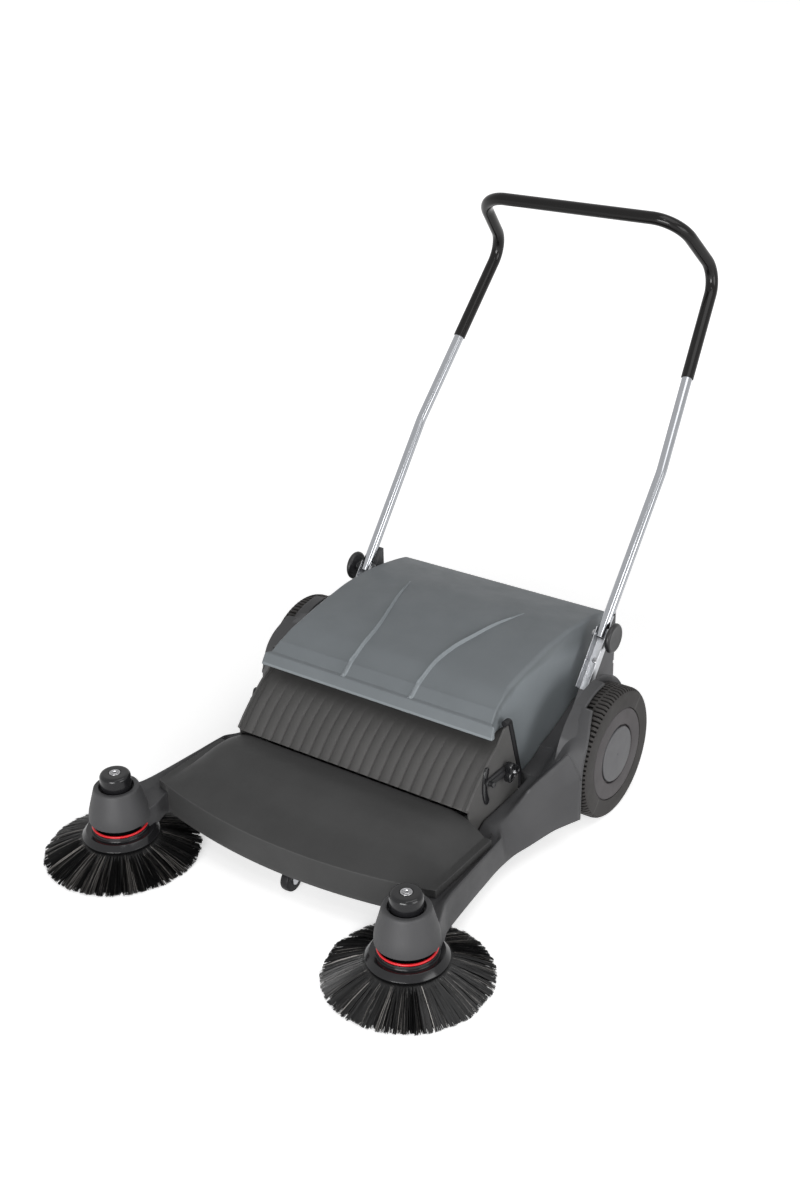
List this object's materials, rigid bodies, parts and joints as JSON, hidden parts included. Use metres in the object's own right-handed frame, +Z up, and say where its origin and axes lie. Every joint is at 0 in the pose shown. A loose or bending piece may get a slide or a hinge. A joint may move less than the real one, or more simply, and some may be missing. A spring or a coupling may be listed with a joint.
{
  "type": "push sweeper",
  "caption": "Push sweeper with a belt-driven main brush, two splayed side brushes, lift-off hopper and a folding U-shaped handle.",
  "frame": {"origin": "middle of the footprint, on the floor", "axes": "+Z up, -Y the driving direction, +X to the side with the driven wheel"},
  "size_m": [0.9894, 1.4109, 1.0847],
  "materials": {
    "belt_rubber": "dull",
    "black_plastic": "satin",
    "bristle": "smooth filament",
    "cap_plastic": "satin",
    "chrome": "bright plated",
    "cover_plastic": "satin, fluted",
    "frame_plastic": "fine moulded grain",
    "gloss_black": "polished",
    "hood_plastic": "fine moulded grain",
    "hopper_plastic": "fine satin grain",
    "nylon": "natural",
    "painted_steel": "satin black",
    "red_rubber": "smooth",
    "rubber": "dull",
    "sleeve_black": "gloss coated sleeve",
    "steel": "bright",
    "tyre_rubber": "dull",
    "wheel_plastic": "dull",
    "zinc": "bright zinc plated"
  },
  "bodies": {
    "chassis": {"front_hood": "hood_plastic", "brush_cover": "cover_plastic", "side_frame_left": "frame_plastic", "side_frame_right": "frame_plastic", "cheek_trim_left": "rubber", "cheek_trim_right": "rubber", "handle_bracket_left": "zinc", "handle_bracket_right": "zinc", "bracket_screw_left": "steel", "bracket_screw_right": "steel", "clamp_bolt_left": "steel", "clamp_bolt_right": "steel", "wheel_bearing_left": "nylon", "wheel_bearing_right": "nylon", "rear_beam": "painted_steel", "throw_plate": "painted_steel", "caster_bracket": "zinc", "main_belt": "belt_rubber", "side_belt_left": "belt_rubber", "side_belt_right": "belt_rubber"},
    "handle": {"handle_tube": "chrome", "handle_sleeve": "sleeve_black"},
    "hopper": {"hopper": "hopper_plastic"},
    "brush_carrier": {"swing_arm_left": "painted_steel", "swing_arm_right": "painted_steel", "height_lever_left": "black_plastic", "height_lever_right": "black_plastic"},
    "main_brush": {"main_brush_bristles": "bristle", "main_brush_shaft": "steel", "brush_pulley_left": "nylon", "brush_pulley_right": "nylon"},
    "tensioner": {"tensioner_roller": "nylon"},
    "caster_swivel": {"caster_fork": "zinc"},
    "caster_wheel": {"caster_wheel": "rubber"},
    "wheel_right": {"tyre_right": "tyre_rubber", "wheel_disc_right": "wheel_plastic", "hub_cap_right": "cap_plastic", "axle_right": "steel", "drive_pulley": "nylon"},
    "clamp_knob_right": {"clamp_knob_right": "black_plastic"},
    "height_knob_right": {"height_knob_right": "black_plastic"},
    "height_dial_right": {"height_dial_right": "gloss_black", "dial_screw_right": "steel"},
    "brush_lift_right": {"lift_stem_right": "steel"},
    "side_brush_right": {"side_brush_flange_right": "gloss_black", "side_brush_bristles_right": "bristle", "side_brush_ring_right": "red_rubber"},
    "wheel_left": {"tyre_left": "tyre_rubber", "wheel_disc_left": "wheel_plastic", "hub_cap_left": "cap_plastic", "axle_left": "steel"},
    "clamp_knob_left": {"clamp_knob_left": "black_plastic"},
    "height_knob_left": {"height_knob_left": "black_plastic"},
    "height_dial_left": {"height_dial_left": "gloss_black", "dial_screw_left": "steel"},
    "brush_lift_left": {"lift_stem_left": "steel"},
    "side_brush_left": {"side_brush_flange_left": "gloss_black", "side_brush_bristles_left": "bristle", "side_brush_ring_left": "red_rubber"}
  },
  "joints": [
    {"name": "handle_fold", "type": "hinge", "parent": "chassis", "child": "handle", "pos_m": [0, 0.20671, 0.325], "axis": [1, 0, 0], "range_deg": [0, 120]},
    {"name": "hopper_lift_off", "type": "slide", "parent": "chassis", "child": "hopper", "axis": [0, 0, 1], "range_m": [0, 0.3]},
    {"name": "brush_height_swing", "type": "hinge", "parent": "chassis", "child": "brush_carrier", "pos_m": [0, -0.13329, 0.182], "axis": [1, 0, 0], "range_deg": [-6, 0], "deforming": ["main_belt", "side_belt_left", "side_belt_right"]},
    {"name": "main_brush_spin", "type": "hinge", "parent": "brush_carrier", "child": "main_brush", "pos_m": [0, -0.17129, 0.093], "axis": [1, 0, 0], "continuous": true},
    {"name": "tensioner_spin", "type": "hinge", "parent": "chassis", "child": "tensioner", "pos_m": [0.2895, -0.07429, 0.107], "axis": [1, 0, 0], "continuous": true},
    {"name": "caster_swivel", "type": "hinge", "parent": "chassis", "child": "caster_swivel", "pos_m": [0.012, -0.44229, 0.06], "axis": [0, 0, 1], "continuous": true},
    {"name": "caster_roll", "type": "hinge", "parent": "caster_swivel", "child": "caster_wheel", "pos_m": [0.012, -0.46229, 0.024], "axis": [1, 0, 0], "continuous": true},
    {"name": "wheel_roll_right", "type": "hinge", "parent": "chassis", "child": "wheel_right", "pos_m": [0.365, 0.10071, 0.135], "axis": [1, 0, 0], "continuous": true},
    {"name": "clamp_knob_turn_right", "type": "hinge", "parent": "chassis", "child": "clamp_knob_right", "pos_m": [0.319, 0.20671, 0.325], "axis": [1, 0, 0], "range_deg": [0, 720]},
    {"name": "height_knob_turn_right", "type": "hinge", "parent": "brush_carrier", "child": "height_knob_right", "pos_m": [0.288, -0.13329, 0.182], "axis": [1, 0, 0], "range_deg": [0, 720]},
    {"name": "height_dial_turn_right", "type": "hinge", "parent": "chassis", "child": "height_dial_right", "pos_m": [0.338, -0.54929, 0.05], "axis": [0, 0, 1], "range_deg": [-900, 1080]},
    {"name": "brush_lift_right", "type": "slide", "parent": "chassis", "child": "brush_lift_right", "axis": [0, 0, 1], "range_m": [-0.005, 0.006], "deforming": ["side_belt_right"]},
    {"name": "side_brush_spin_right", "type": "hinge", "parent": "brush_lift_right", "child": "side_brush_right", "pos_m": [0.338, -0.54929, 0.05], "axis": [0, 0, 1], "continuous": true},
    {"name": "wheel_roll_left", "type": "hinge", "parent": "chassis", "child": "wheel_left", "pos_m": [-0.365, 0.10071, 0.135], "axis": [1, 0, 0], "continuous": true},
    {"name": "clamp_knob_turn_left", "type": "hinge", "parent": "chassis", "child": "clamp_knob_left", "pos_m": [-0.319, 0.20671, 0.325], "axis": [1, 0, 0], "range_deg": [-720, 0]},
    {"name": "height_knob_turn_left", "type": "hinge", "parent": "brush_carrier", "child": "height_knob_left", "pos_m": [-0.288, -0.13329, 0.182], "axis": [1, 0, 0], "range_deg": [-720, 0]},
    {"name": "height_dial_turn_left", "type": "hinge", "parent": "chassis", "child": "height_dial_left", "pos_m": [-0.338, -0.54929, 0.05], "axis": [0, 0, 1], "range_deg": [-900, 1080]},
    {"name": "brush_lift_left", "type": "slide", "parent": "chassis", "child": "brush_lift_left", "axis": [0, 0, 1], "range_m": [-0.005, 0.006], "deforming": ["side_belt_left"]},
    {"name": "side_brush_spin_left", "type": "hinge", "parent": "brush_lift_left", "child": "side_brush_left", "pos_m": [-0.338, -0.54929, 0.05], "axis": [0, 0, 1], "continuous": true}
  ],
  "couplings": [
    {"joint": "main_brush_spin", "follows": "wheel_roll_right", "ratio": 1.8491},
    {"joint": "tensioner_spin", "follows": "wheel_roll_right", "ratio": -2.5789},
    {"joint": "height_dial_turn_right", "follows": "brush_lift_right", "rad_per_m": 3141.6},
    {"joint": "side_brush_spin_right", "follows": "wheel_roll_right", "ratio": -1.8491},
    {"joint": "height_dial_turn_left", "follows": "brush_lift_left", "rad_per_m": 3141.6},
    {"joint": "side_brush_spin_left", "follows": "wheel_roll_right", "ratio": 1.8491}
  ]
}
